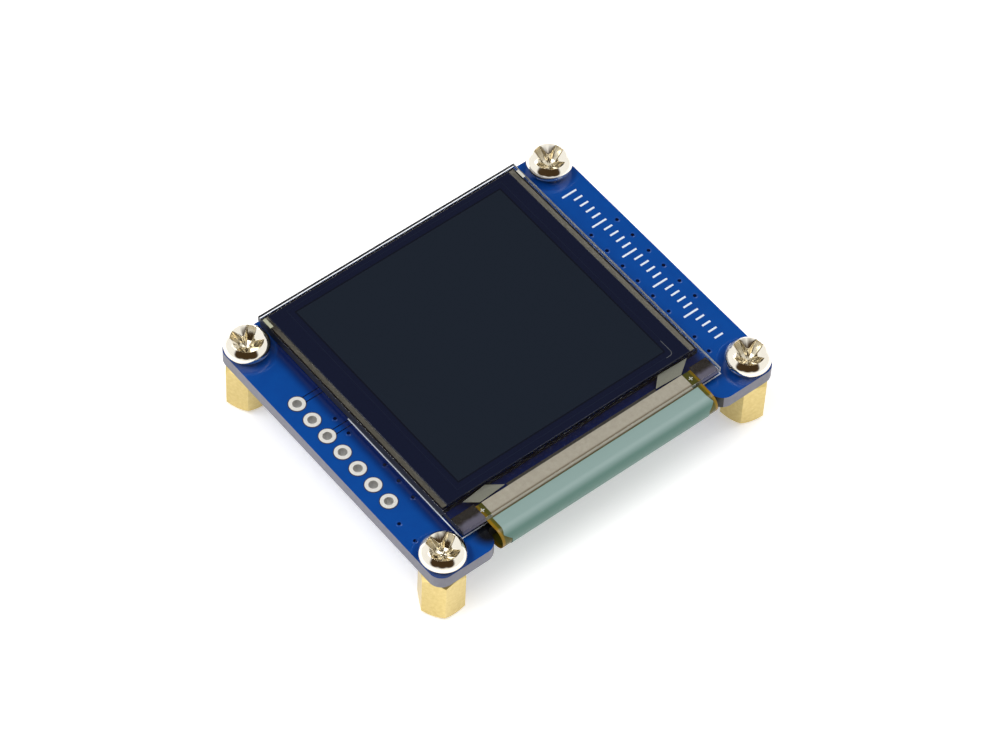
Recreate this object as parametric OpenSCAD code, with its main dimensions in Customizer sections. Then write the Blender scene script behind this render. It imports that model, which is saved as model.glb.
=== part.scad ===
// Small colour display module: a glass panel on a circuit board that stands on four hex standoffs.
// Millimetres. The floor under the standoffs is z = 0, the origin is the middle of the four fixings,
// the pin header row is at -X and the panel's flex cable bends round the board's -Y edge.

/* [Board] */
// Board in front of the glass
strip_front = 2.6; // [1.6:0.05:6]
// Board behind the glass
strip_back = 0.4; // [0:0.05:6]
// Gap between the left screw heads and the glass
head_gap_left = 0.305; // [0.1:0.005:6]
// Gap between the right screw heads and the glass
head_gap_right = 0.945; // [0.1:0.005:6]
// Thickness of the circuit board
board_t = 1.6; // [0.8:0.1:2.4]
// Radius of the board's four corners
board_corner_r = 1.5; // [0.5:0.1:3]
// Distance of each fixing hole from the two edges beside it
hole_inset = 2.25; // [1.8:0.05:2.4]
// Diameter of the fixing holes
fix_hole_d = 2.7; // [2.6:0.05:3.2]
// Depth of the notch that lets the flex round the front edge
notch_depth = 2.2; // [2.05:0.05:3]
// Radius of the board's tabs beside the notch
notch_tab_r = 1.5; // [0.4:0.1:1.5]
// Radius of the notch's inner corners
notch_inner_r = 0.5; // [0.2:0.05:0.5]

/* [Pin header holes] */
// Number of header holes
header_count = 7; // [2:1:9]
// Pitch of the header holes
header_pitch = 2.54; // [2:0.01:2.54]
// Distance of the header row from the board's end
header_inset = 2.16; // [1.4:0.01:3]
// Bore of a plated header hole
header_bore_d = 1; // [0.7:0.05:1.1]
// Diameter of the round pads
pad_d = 1.8; // [1.5:0.05:1.9]
// Height of a pad above the board's face
pad_t = 0.05; // [0.03:0.01:0.1]
// Wall of the plated barrel
barrel_t = 0.03; // [0.02:0.005:0.1]

/* [Standoffs] */
// Height of the standoffs
standoff_h = 6; // [4:0.5:20]
// Width across the flats of the hexagon
standoff_af = 4.5; // [4.2:0.1:4.8]
// Diameter of the flat ring left on each end by the lathe chamfer
standoff_face_d = 4; // [3.2:0.05:4.4]
// Core diameter of the free thread at the foot
core_d = 2.05; // [1.9:0.05:2.2]
// Mouth of the countersink on the thread at each end
mouth_d = 2.7; // [2.6:0.05:3]

/* [Screws] */
// Outer diameter of the screw thread
thread_d = 2.5; // [2.3:0.05:2.55]
// Length of a screw under its head
screw_l = 5; // [4:0.5:7]
// Widest diameter of the pan head
head_d = 4.95; // [4.5:0.05:5.4]
// Diameter of the head's seat on the board
head_seat_d = 4; // [3.4:0.05:4.4]
// Height of the pan head
head_h = 2.1; // [1.7:0.05:2.5]
// Height of the head's widest circle above the board
rim_h = 0.8; // [0.3:0.05:1]
// Width of the cross recess at the top
recess_d = 3.5; // [2.6:0.05:3.7]
// Depth of the cross recess
recess_depth = 1.5; // [0.8:0.05:1.6]
// Thickness of the recess's wings at the top
wing_w = 0.9; // [0.6:0.02:1.2]

/* [Display glass] */
// Side of the square picture area
active_size = 26.86; // [22:0.02:40]
// Width of the cap glass left of the picture area
border_left = 3.275; // [2:0.005:6]
// Width of the cap glass right of the picture area
border_right = 3.365; // [2:0.005:6]
// Width of the cap glass in front of the picture area
border_front = 1.55; // [1:0.01:4]
// Width of the cap glass behind the picture area
border_back = 1.94; // [1.7:0.01:5]
// Thickness of the front glass
glass_t = 0.7; // [0.4:0.05:1.1]
// Thickness of the cap glass behind it
cap_t = 0.7; // [0.6:0.05:1.1]
// Width of the glass ledge that carries the flex contacts
ledge_w = 3.5; // [2.9:0.05:3.55]
// How far the cap glass stays inside the front glass on its three other sides
cap_inset = 0.15; // [0.05:0.01:0.4]
// Depth of the pocket etched into the cap glass
pocket_depth = 0.35; // [0.25:0.01:0.5]
// Width of the cap glass's rim inside the seal, round its pocket
rim_margin = 0.15; // [0.05:0.01:0.6]
// Thickness of the adhesive tape under the cap glass
tape_t = 0.1; // [0.05:0.01:0.5]
// How far the tape stays inside the cap glass
tape_inset = 1.5; // [0.2:0.1:5]
// Thickness of the seal between the two glasses
seal_t = 0.05; // [0.04:0.005:0.1]
// Gap between the seal and the picture area at the front
seal_gap = 0.1; // [0.05:0.01:0.6]
// How far the seal stays inside the cap glass
seal_inset = 0.25; // [0.1:0.01:0.6]
// Size of the desiccant sheet's margin in the pocket
desiccant_margin = 1.2; // [0.5:0.1:5]
// Thickness of the desiccant sheet
desiccant_t = 0.15; // [0.05:0.01:0.2]
// Thickness of the polariser
polariser_t = 0.2; // [0.1:0.01:0.4]
// Bare glass left of the polariser
polariser_left = 0.73; // [0.2:0.01:1.5]
// Bare glass right of the polariser
polariser_right = 1.27; // [0.2:0.01:1.5]
// Bare glass behind the polariser
polariser_back = 0.76; // [0.2:0.01:1.2]
// How far the polariser reaches over the contact ledge
polariser_lap = 0.06; // [0:0.01:0.5]
// Thickness of the light-emitting layers
active_t = 0.02; // [0.01:0.005:0.03]

/* [Flex cable] */
// Width of the flex film
flex_w = 28.2; // [27.8:0.1:30]
// Thickness of the flex film
flex_t = 0.1; // [0.05:0.01:0.15]
// Gap between the flex and each side of the notch
flex_side_gap = 0.35; // [0.2:0.05:1]
// Distance of the bend's centre line in front of the notch's floor
bend_ahead = 0.96; // [0.9:0.02:1.2]
// Gap between the folded flex and the board's underside
flex_gap = 0.12; // [0.08:0.01:0.3]
// Length of the folded run under the board, from the bend's centre line
tail_l = 8.76; // [7:0.05:10]
// Width of the contact strip on the glass ledge
contact_w = 26.25; // [20:0.05:27.5]
// Depth of the contact strip
contact_depth = 1.92; // [1:0.02:2.4]
// Thickness of the contact strip
contact_t = 0.03; // [0.02:0.005:0.05]
// Sideways shift of the contact strip on the flex
contact_shift = -0.175; // [-0.3:0.005:0.3]
// Thickness of the green cover film
cover_t = 0.05; // [0.02:0.01:0.1]
// Gap between the glass edge and the cover film
cover_gap = 0.08; // [0.04:0.01:0.3]
// Width of the cover film beside the glass
cover_w = 26.46; // [24:0.02:27.4]
// Width of the cover film at its shoulder on the bend
cover_shoulder_w = 27.44; // [27.42:0.01:27.7]
// Width of the cover film under the board
cover_tail_w = 25.84; // [22:0.02:27.4]
// Length of the driver chip
chip_l = 14; // [8:0.5:20]
// Width of the driver chip
chip_w = 1.2; // [0.8:0.1:2]
// Height of the driver chip
chip_h = 0.5; // [0.3:0.05:0.8]
// Distance of the chip's middle behind the bend's centre line
chip_reach = 2.5; // [2:0.1:3]
// Margin of the cover film's window round the chip
chip_margin = 0.3; // [0.1:0.05:0.6]
// Number of solder joints on the flex tail
joint_count = 30; // [4:1:32]
// Pitch of the solder joints
joint_pitch = 0.8; // [0.6:0.02:0.85]
// Width of a solder joint
joint_w = 0.42; // [0.2:0.02:0.5]
// Length of a solder joint
joint_l = 1.5; // [0.8:0.1:2]
// Film left beyond the joints at the tail's end
joint_margin = 0.25; // [0.1:0.05:0.6]

/* [Parts under the board] */
// Body length of the small outline packages
sot_l = 2.9; // [2.7:0.05:3.1]
// Body width of the small outline packages
sot_w = 1.6; // [1.3:0.05:1.8]
// Body height of the small outline packages
sot_h = 1.1; // [0.9:0.05:1.3]
// Gap between a package's body and the board
sot_gap = 0.1; // [0.05:0.01:0.15]
// Pitch of the package leads
lead_pitch = 0.95; // [0.9:0.01:1]
// Width of a package lead
lead_w = 0.4; // [0.3:0.02:0.5]
// Thickness of a package lead
lead_t = 0.15; // [0.1:0.01:0.18]
// Reach of a lead beyond the body
lead_reach = 0.6; // [0.55:0.05:0.8]
// Length of a lead's flat foot
foot_l = 0.35; // [0.2:0.05:0.4]
// Side of the square power inductor
coil_size = 4; // [3:0.1:5]
// Height of the power inductor
coil_h = 1.8; // [1:0.1:3]
// Diameter of the inductor's drum face
coil_face_d = 3.3; // [2.4:0.05:3.5]
// Width of the groove round the drum face
coil_groove_w = 0.25; // [0.1:0.05:0.4]
// Depth of the groove round the drum face
coil_groove_depth = 0.3; // [0.1:0.05:0.6]
// Corner chamfer of the inductor
coil_chamfer = 0.5; // [0.2:0.05:0.6]
// Length of the diode's body
diode_l = 2.7; // [2.4:0.1:3]
// Width of the diode's body
diode_w = 1.6; // [1.3:0.1:2]
// Height of the diode's body
diode_h = 1.1; // [0.8:0.05:1.3]
// Length of a chip capacitor or resistor
smd_l = 1.6; // [1.2:0.1:1.8]
// Width of a chip capacitor or resistor
smd_w = 0.8; // [0.6:0.05:1]
// Height of a chip capacitor
cap_part_h = 0.8; // [0.5:0.05:1]
// Height of a chip resistor
res_part_h = 0.45; // [0.3:0.05:0.6]
// Length of each soldered end cap
end_cap_l = 0.35; // [0.2:0.05:0.5]
// How far the end caps stand proud of the body
end_cap_t = 0.03; // [0.02:0.01:0.06]

/* [Hidden] */
$fn = 64;

// One overrun for every cut
over = 0.2;

// Heights of the faces, from the floor up
z_under = standoff_h;
z_board = z_under + board_t;
z_cap = z_board + tape_t;
z_seal = z_cap + cap_t;
z_glass = z_seal + seal_t;
z_polariser = z_glass + glass_t;

// The glass is built out from the picture area, and the board from the glass and the screw heads beside it
glass_x = border_left + active_size + border_right + 2 * cap_inset;
glass_y = ledge_w + border_front + active_size + border_back + cap_inset;
head_reach = hole_inset + head_d / 2;
board_x = 2 * head_reach + head_gap_left + glass_x + head_gap_right;
board_y = strip_front + glass_y + strip_back;

// Places of the fixings
fix_x = board_x / 2 - hole_inset;
fix_y = board_y / 2 - hole_inset;

// Edges of the glasses and of what lies between them: [left, right, front, back]
glass_left = head_reach + head_gap_left - board_x / 2;
glass_right = glass_left + glass_x;
glass_front = strip_front - board_y / 2;
glass_back = glass_front + glass_y;
glass_edges = [glass_left, glass_right, glass_front, glass_back];
cap_edges = [glass_left + cap_inset, glass_right - cap_inset, glass_front + ledge_w, glass_back - cap_inset];
seal_edges = inset_edges(cap_edges, seal_inset);
seal_w = border_front - seal_inset - seal_gap;
pocket_edges = inset_edges(seal_edges, seal_w + rim_margin);
active_edges = [cap_edges[0] + border_left, cap_edges[1] - border_right,
                cap_edges[2] + border_front, cap_edges[3] - border_back];
polariser_edges = [glass_left + polariser_left, glass_right - polariser_right,
                   cap_edges[2] - polariser_lap, glass_back - polariser_back];

// Flex bend: it joins the glass ledge to the run under the board
flex_top = z_glass - contact_t;
flex_low = z_under - flex_gap - flex_t;
bend_r = (flex_top - flex_low) / 2;
bend_z = (flex_top + flex_low) / 2;
bend_y = -board_y / 2 + notch_depth - bend_ahead;
tail_end = bend_y + tail_l;
joint_y = tail_end - joint_margin - joint_l;
cover_front = glass_front - cover_gap;
cover_end = joint_y - joint_margin;
// Angles from the top of the bend to the cover film's shoulder and waist
shoulder_angle = 39;
waist_angle = 75;

// Lathe chamfer on the standoffs
chamfer_angle = 38;
// Clearance of the screw in the standoff's thread, radial and beyond the screw's end
thread_gap = 0.03;
screw_end_gap = 0.2;
// Chamfer on the screw's tip
tip_chamfer = 0.25;
// Crown of the head: radius where it starts and its rise
crown_r = 1.5;
crown_rise = 0.12;
arc_steps = 8;
// Cross recess: width and wing thickness at its floor, and the round middle at the top and at the floor
recess_floor_d = 1.5;
wing_floor_w = 0.5;
recess_mid_d = 1.9;
recess_mid_floor_d = 0.8;
// Turns of the hexagons and of the recesses, in the order of the nodes
standoff_turns = [0.6, 46, 53.8, 20];
screw_turns = [24, 8, 35, 12];

// Places under the board, as shares of its length and width
boost_share = [0.19, 0.02];
inductor_share = [0.27, 0.2];
diode_share = [0.12, 0.22];
regulator_share = [-0.23, 0.18];
cap_place_shares = [[0.27, 0.02], [0.18, 0.33], [0.27, 0.33], [-0.14, 0.18], [-0.23, 0.29],
                    [-0.14, 0.06], [-0.02, -0.14], [0.08, -0.14]];
res_place_shares = [[-0.23, 0.05], [-0.05, 0.06], [0.04, 0.02], [0.1, -0.04], [0.2, -0.14],
                    [-0.12, -0.14], [-0.23, -0.14]];

function inset_edges(e, d) = [e[0] + d, e[1] - d, e[2] + d, e[3] - d];

module plate(e, z, t) {
    translate([e[0], e[2], z]) cube([e[1] - e[0], e[3] - e[2], t]);
}

module at_header() {
    for (i = [0 : header_count - 1])
        translate([header_inset - board_x / 2, (i - (header_count - 1) / 2) * header_pitch, 0])
            children();
}

module rounded_outline(x, y, r) {
    square([x - 2 * r, y], center = true);
    square([x, y - 2 * r], center = true);
    for (sx = [-1, 1])
        for (sy = [-1, 1])
            translate([sx * (x / 2 - r), sy * (y / 2 - r)]) circle(r);
}

// Notch with rounded tabs outside and rounded corners inside, measured from the board's front edge
module notch_outline() {
    half = flex_w / 2 + flex_side_gap;
    inner = half - notch_inner_r;
    difference() {
        union() {
            translate([-half, -over]) square([2 * half, notch_depth - notch_inner_r + over]);
            translate([-inner, 0]) square([2 * inner, notch_depth]);
            for (s = [-1, 1])
                translate([s * inner, notch_depth - notch_inner_r]) circle(notch_inner_r);
            translate([-half - notch_tab_r, -over])
                square([2 * (half + notch_tab_r), notch_tab_r + over]);
        }
        for (s = [-1, 1])
            translate([s * (half + notch_tab_r), notch_tab_r]) circle(notch_tab_r);
    }
}

module circuit_board() {
    color("royalblue")
    translate([0, 0, z_under])
    difference() {
        linear_extrude(board_t)
            difference() {
                rounded_outline(board_x, board_y, board_corner_r);
                translate([0, -board_y / 2]) notch_outline();
            }
        for (sx = [-1, 1])
            for (sy = [-1, 1])
                translate([sx * fix_x, sy * fix_y, -over])
                    cylinder(d = fix_hole_d, h = board_t + 2 * over);
        at_header()
            translate([0, 0, -over])
                cylinder(d = header_bore_d + 2 * barrel_t, h = board_t + 2 * over);
    }
}

// Plated barrels with a round pad on each face
module header_plating() {
    color("silver")
    at_header()
        translate([0, 0, z_under - pad_t])
        difference() {
            union() {
                cylinder(d = pad_d, h = pad_t);
                cylinder(d = header_bore_d + 2 * barrel_t, h = board_t + 2 * pad_t);
                translate([0, 0, pad_t + board_t]) cylinder(d = pad_d, h = pad_t);
            }
            translate([0, 0, -over]) cylinder(d = header_bore_d, h = board_t + 2 * pad_t + 2 * over);
        }
}

// Hexagon with a lathe chamfer on both ends, a thread core at the foot and the screw's seat above it
module standoff(sx, sy, turn) {
    cone_r = standoff_face_d / 2 + standoff_h / 2 / tan(chamfer_angle);
    seat_z = z_board - screw_l - screw_end_gap;
    mouth_depth = (mouth_d - core_d) / 2;
    color("goldenrod")
    translate([sx * fix_x, sy * fix_y, 0])
    difference() {
        intersection() {
            rotate([0, 0, turn]) cylinder(d = standoff_af / cos(180 / 6), h = standoff_h, $fn = 6);
            rotate_extrude()
                polygon([[0, 0], [standoff_face_d / 2, 0], [cone_r, standoff_h / 2],
                         [standoff_face_d / 2, standoff_h], [0, standoff_h]]);
        }
        translate([0, 0, -over]) cylinder(d = core_d, h = standoff_h + 2 * over);
        translate([0, 0, seat_z])
            cylinder(d = thread_d + 2 * thread_gap, h = standoff_h - seat_z + over);
        translate([0, 0, -over])
            cylinder(d1 = mouth_d + 2 * over, d2 = core_d, h = mouth_depth + over);
        translate([0, 0, standoff_h - mouth_depth])
            cylinder(d1 = core_d, d2 = mouth_d + 2 * over, h = mouth_depth + over);
    }
}

function head_arc() = [for (i = [0 : arc_steps])
    let (a = 90 * i / arc_steps)
    [crown_r + (head_d / 2 - crown_r) * cos(a), rim_h + (head_h - crown_rise - rim_h) * sin(a)]];

function crown_arc() = [for (i = [1 : arc_steps])
    let (a = 90 * i / arc_steps)
    [crown_r * cos(a), head_h - crown_rise + crown_rise * sin(a)]];

// Section of a tapered slot, from its floor to just above the head
module slot_section(floor_w, top_w) {
    taper = (top_w - floor_w) / 2 / recess_depth;
    floor_z = head_h - recess_depth;
    polygon([[-floor_w / 2, floor_z], [floor_w / 2, floor_z],
             [top_w / 2 + taper * over, head_h + over], [-top_w / 2 - taper * over, head_h + over]]);
}

// One pair of opposite wings: tapered along its length and across it
module recess_wings() {
    intersection() {
        rotate([90, 0, 0])
            translate([0, 0, -wing_w])
                linear_extrude(2 * wing_w) slot_section(recess_floor_d, recess_d);
        rotate([90, 0, 90])
            translate([0, 0, -recess_d])
                linear_extrude(2 * recess_d) slot_section(wing_floor_w, wing_w);
    }
}

// Pan head screw with a cross recess, its head seated on the board
module screw(sx, sy, turn) {
    mid_taper = (recess_mid_d - recess_mid_floor_d) / 2 / recess_depth;
    color("gainsboro")
    translate([sx * fix_x, sy * fix_y, z_board])
    rotate([0, 0, turn])
    difference() {
        rotate_extrude()
            polygon(concat([[0, -screw_l], [thread_d / 2 - tip_chamfer, -screw_l],
                            [thread_d / 2, tip_chamfer - screw_l], [thread_d / 2, 0], [head_seat_d / 2, 0]],
                           head_arc(), crown_arc()));
        recess_wings();
        rotate([0, 0, 90]) recess_wings();
        translate([0, 0, head_h - recess_depth])
            cylinder(d1 = recess_mid_floor_d, d2 = recess_mid_d + 2 * mid_taper * over,
                     h = recess_depth + over);
    }
}

module adhesive_tape() {
    color("dimgray") plate(inset_edges(cap_edges, tape_inset), z_board, tape_t);
}

module cap_glass() {
    color("lightblue", 0.6)
    difference() {
        plate(cap_edges, z_cap, cap_t);
        plate(pocket_edges, z_seal - pocket_depth, pocket_depth + over);
    }
}

module desiccant_sheet() {
    color("white") plate(inset_edges(pocket_edges, desiccant_margin), z_seal - pocket_depth, desiccant_t);
}

module light_emitting_layer() {
    color("slategray") plate(active_edges, z_glass - active_t, active_t);
}

module edge_seal() {
    color("darkkhaki")
    difference() {
        plate(seal_edges, z_seal, seal_t);
        plate(inset_edges(seal_edges, seal_w), z_seal - over, seal_t + 2 * over);
    }
}

module substrate_glass() {
    color("lightcyan", 0.5) plate(glass_edges, z_glass, glass_t);
}

module polariser() {
    color("darkslategray") plate(polariser_edges, z_polariser, polariser_t);
}

module contact_strip() {
    color("tan")
    translate([contact_shift - contact_w / 2, glass_front, flex_top])
        cube([contact_w, contact_depth, contact_t]);
}

// Profile of a bent film in the YZ plane, with its outer face "out" outside the flex's outer face
module bend_profile(out, t, top_end, low_end) {
    r = bend_r + out;
    translate([bend_y, bend_z]) {
        difference() {
            circle(r);
            circle(r - t);
            translate([0, -r - over]) square([r + over, 2 * (r + over)]);
        }
        translate([0, r - t]) square([top_end - bend_y, t]);
        translate([0, -r]) square([low_end - bend_y, t]);
    }
}

module flex_film() {
    color("olive")
    translate([-flex_w / 2, 0, 0])
    rotate([90, 0, 90])
        linear_extrude(flex_w)
            bend_profile(0, flex_t, glass_front + contact_depth, tail_end);
}

// Green cover film over the bend: as wide as the contacts at the glass, with a shoulder on the bend
module flex_coverlay() {
    r = bend_r + cover_t;
    color("darkseagreen")
    difference() {
        intersection() {
            translate([-flex_w / 2, 0, 0])
            rotate([90, 0, 90])
                linear_extrude(flex_w)
                    bend_profile(cover_t, cover_t, cover_front, cover_end);
            translate([0, cover_end + over, 0])
            rotate([90, 0, 0])
                linear_extrude(cover_end + over - bend_y + r + over)
                    polygon([for (s = [-1, 1])
                             for (p = s < 0 ? cover_side() : reversed(cover_side())) [s * p[0], p[1]]]);
        }
        translate([-chip_l / 2 - chip_margin, bend_y + chip_reach - chip_w / 2 - chip_margin, bend_z - r - over])
            cube([chip_l + 2 * chip_margin, chip_w + 2 * chip_margin, r]);
    }
}

function cover_side() = [[cover_tail_w / 2, bend_z - bend_r - cover_t - over],
                         [cover_tail_w / 2, bend_z + bend_r * cos(waist_angle)],
                         [cover_shoulder_w / 2, bend_z + bend_r * cos(shoulder_angle)],
                         [cover_w / 2, bend_z + bend_r + cover_t + over]];

function reversed(list) = [for (i = [len(list) - 1 : -1 : 0]) list[i]];

module driver_chip() {
    color("dimgray")
    translate([-chip_l / 2, bend_y + chip_reach - chip_w / 2, flex_low - chip_h])
        cube([chip_l, chip_w, chip_h]);
}

module flex_solder_joints() {
    color("silver")
    for (i = [0 : joint_count - 1])
        translate([(i - (joint_count - 1) / 2) * joint_pitch - joint_w / 2, joint_y, flex_low + flex_t])
            cube([joint_w, joint_l, flex_gap]);
}

// Places a part under the board, drawn with its seat at z = 0 and its height along +Z
module under_board(share, turn = 0) {
    translate([share[0] * board_x, share[1] * board_y, z_under])
        mirror([0, 0, 1])
            rotate([0, 0, turn])
                children();
}

// Bent lead along +Y at the middle of one side of a package
module gull_lead(body_w, body_h) {
    mid = sot_gap + (body_h - sot_gap) / 2;
    tip = body_w / 2 + lead_reach;
    knee = tip - foot_l;
    rotate([90, 0, 90])
        translate([0, 0, -lead_w / 2])
            linear_extrude(lead_w)
                polygon([[0, mid - lead_t / 2], [knee - lead_t, mid - lead_t / 2], [knee - lead_t, 0],
                         [tip, 0], [tip, lead_t], [knee, lead_t], [knee, mid + lead_t / 2],
                         [0, mid + lead_t / 2]]);
}

module package(l, w, h, leads) {
    translate([-l / 2, -w / 2, sot_gap]) cube([l, w, h - sot_gap]);
    for (p = leads)
        rotate([0, 0, p[1] > 0 ? 0 : 180])
            translate([p[0] * lead_pitch, 0, 0])
                gull_lead(w, h);
}

module boost_converter() {
    color("darkslategray")
    under_board(boost_share) package(sot_l, sot_w, sot_h, [for (s = [-1, 1]) for (i = [-1 : 1]) [i, s]]);
}

module voltage_regulator() {
    color("darkslategray")
    under_board(regulator_share) package(sot_l, sot_w, sot_h, [[-1, -1], [1, -1], [0, 1]]);
}

module schottky_diode() {
    color("dimgray")
    under_board(diode_share, 90) package(diode_w, diode_l, diode_h, [[0, -1], [0, 1]]);
}

// Square shielded coil: chamfered corners, with a groove round its drum face
module power_inductor() {
    half = coil_size / 2;
    cut = half - coil_chamfer;
    color("gray")
    under_board(inductor_share)
    difference() {
        linear_extrude(coil_h)
            polygon([[half, -cut], [half, cut], [cut, half], [-cut, half],
                     [-half, cut], [-half, -cut], [-cut, -half], [cut, -half]]);
        translate([0, 0, coil_h - coil_groove_depth])
        difference() {
            cylinder(d = coil_face_d, h = coil_groove_depth + over);
            translate([0, 0, -over])
                cylinder(d = coil_face_d - 2 * coil_groove_w, h = coil_groove_depth + 3 * over);
        }
    }
}

// Chip part: a body with a metal cap round each end
module chip_part(h) {
    body_w = smd_w - 2 * end_cap_t;
    translate([-smd_l / 2 + end_cap_l, -body_w / 2, end_cap_t])
        cube([smd_l - 2 * end_cap_l, body_w, h - 2 * end_cap_t]);
    for (s = [0, 1])
        mirror([s, 0, 0])
            translate([smd_l / 2 - end_cap_l, -smd_w / 2, 0])
                cube([end_cap_l, smd_w, h]);
}

module ceramic_capacitors() {
    color("burlywood")
    for (i = [0 : len(cap_place_shares) - 1])
        under_board(cap_place_shares[i], i < 3 ? 90 : 0) chip_part(cap_part_h);
}

module resistors() {
    color("black")
    for (share = res_place_shares)
        under_board(share, 90) chip_part(res_part_h);
}

circuit_board();
header_plating();
standoff(-1, -1, standoff_turns[0]);  // standoff_front_left
standoff(1, -1, standoff_turns[1]);  // standoff_front_right
standoff(-1, 1, standoff_turns[2]);  // standoff_back_left
standoff(1, 1, standoff_turns[3]);  // standoff_back_right
screw(-1, -1, screw_turns[0]);  // screw_front_left
screw(1, -1, screw_turns[1]);  // screw_front_right
screw(-1, 1, screw_turns[2]);  // screw_back_left
screw(1, 1, screw_turns[3]);  // screw_back_right
adhesive_tape();
cap_glass();
desiccant_sheet();
light_emitting_layer();
edge_seal();
substrate_glass();
polariser();
contact_strip();
flex_film();
flex_coverlay();
driver_chip();
flex_solder_joints();
boost_converter();
power_inductor();
schottky_diode();
voltage_regulator();
ceramic_capacitors();
resistors();
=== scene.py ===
"""Small display module: a glass panel on a blue circuit board that stands on four brass standoffs.

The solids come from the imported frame. This script dresses them: every visible solid gets a smooth-shaded
copy with eased edges and a material of its own, and the thin things that sit on them (ink, vias, foil marks,
screw threads) are modelled here. Sizes are in millimetres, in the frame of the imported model.
"""

import logging
import math
from collections.abc import Callable, Iterable, Sequence
from dataclasses import dataclass, field
from enum import Enum

import bmesh
import bpy
from mathutils import Matrix, Vector


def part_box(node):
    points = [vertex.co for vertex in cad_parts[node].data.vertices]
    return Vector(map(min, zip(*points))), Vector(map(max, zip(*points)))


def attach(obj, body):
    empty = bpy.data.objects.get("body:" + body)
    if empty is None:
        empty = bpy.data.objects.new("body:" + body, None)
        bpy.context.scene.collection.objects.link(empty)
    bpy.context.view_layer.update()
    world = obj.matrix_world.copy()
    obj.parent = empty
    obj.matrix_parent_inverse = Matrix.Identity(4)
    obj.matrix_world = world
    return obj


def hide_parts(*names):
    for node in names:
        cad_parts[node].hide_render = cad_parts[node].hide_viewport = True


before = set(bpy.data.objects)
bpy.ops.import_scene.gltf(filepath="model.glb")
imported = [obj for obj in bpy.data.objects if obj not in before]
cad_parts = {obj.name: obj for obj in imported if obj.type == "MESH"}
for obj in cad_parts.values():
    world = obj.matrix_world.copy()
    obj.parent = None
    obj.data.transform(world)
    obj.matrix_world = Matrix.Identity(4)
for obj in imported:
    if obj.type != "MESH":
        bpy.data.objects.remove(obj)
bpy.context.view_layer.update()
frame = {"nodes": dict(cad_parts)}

LOG = logging.getLogger("display_module")
MM = 0.001
BODY = "root"
WHITE = "#ffffff"
MADE: dict[str, bpy.types.Material] = {}

# Corners closer than this in millimetres are one, and faces that turn by less than this in degrees are one.
WELD = 0.0005
FLAT = 0.4
# Keeps a division from nought.
TINY = 1e-6
# Steps round a small, a middling and a large circle.
SMALL_ROUND, ROUND, LARGE_ROUND = 16, 32, 96
# A face looks along an axis if more than this share of its normal lies along it.
FACING = 0.9
# How far a layer's faces are drawn in, in millimetres: a loose one leaves air, a bonded one sinks into the glass.
LOOSE = 0.003
BONDED = -0.003

Tree = bpy.types.NodeTree
Socket = bpy.types.NodeSocket
Mesh = bmesh.types.BMesh
Face = bmesh.types.BMFace
Pair = tuple[float, float]
Level = Callable[[float], Pair]


class Corner(Enum):
    """The four fixings, each with the end of its solids' names."""

    FRONT_LEFT = "front_left"
    FRONT_RIGHT = "front_right"
    BACK_LEFT = "back_left"
    BACK_RIGHT = "back_right"


# ---------------------------------------------------------------- colour and shader nodes


def linear(colour: str) -> tuple[float, float, float, float]:
    """Turns an sRGB hex colour into linear light.

    Args:
        colour: Six hex digits with a leading hash.

    Returns:
        Red, green, blue and an alpha of one.
    """
    parts = [int(colour[i : i + 2], 16) / 255 for i in (1, 3, 5)]
    return (*(p / 12.92 if p <= 0.04045 else ((p + 0.055) / 1.055) ** 2.4 for p in parts), 1.0)


def add_node(
    tree: Tree,
    kind: str,
    settings: dict[str, object] | None = None,
    inputs: dict[str | int, object] | None = None,
) -> bpy.types.Node:
    """Adds one node, with its settings and its inputs.

    Args:
        tree: The node tree that gets it.
        kind: The node's type name, without the ShaderNode that starts it.
        settings: Properties of the node by name.
        inputs: Values or output sockets for the node's inputs, by name or place.

    Returns:
        The new node.
    """
    node = tree.nodes.new("ShaderNode" + kind)
    for key, value in (settings or {}).items():
        setattr(node, key, value)
    for key, value in (inputs or {}).items():
        if isinstance(value, Socket):
            tree.links.new(value, node.inputs[key])
        else:
            node.inputs[key].default_value = value
    return node


def compute(tree: Tree, operation: str, *values: Socket | float) -> Socket:
    """Result of a math node on these values."""
    return add_node(tree, "Math", {"operation": operation}, dict(enumerate(values))).outputs[0]


def compute_vector(tree: Tree, operation: str, *values: Socket | Sequence[float]) -> Socket:
    """Result of a vector math node on these values."""
    node = add_node(tree, "VectorMath", {"operation": operation}, dict(enumerate(values)))
    return node.outputs["Value" if operation in ("DISTANCE", "DOT_PRODUCT") else "Vector"]


def coordinate(tree: Tree, where: Socket, axis: int) -> Socket:
    """Place along an axis, 0 to 2."""
    return add_node(tree, "SeparateXYZ", None, {0: where}).outputs[axis]


def per_mm(size: float) -> float:
    """Scale of a texture on metre coordinates whose features are size millimetres wide."""
    return 1 / (size * MM)


def clouds(tree: Tree, where: Socket, width: float, detail: float = 3.0) -> Socket:
    """Noise from nought to one, with lumps of a width in millimetres."""
    inputs = {"Vector": where, "Scale": per_mm(width), "Detail": detail}
    return add_node(tree, "TexNoise", None, inputs).outputs["Fac"]


def soft_step(tree: Tree, value: Socket, start: float, end: float, to: Pair = (0.0, 1.0)) -> Socket:
    """Runs softly from one number to another.

    Args:
        tree: The node tree.
        value: What it follows.
        start: Value where it leaves the first number.
        end: Value where it reaches the second, above or below start.
        to: The two numbers.

    Returns:
        The socket.
    """
    inputs = {"Value": value, "From Min": start, "From Max": end, "To Min": to[0], "To Max": to[1]}
    return add_node(tree, "MapRange", {"interpolation_type": "SMOOTHSTEP"}, inputs).outputs[0]


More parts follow.
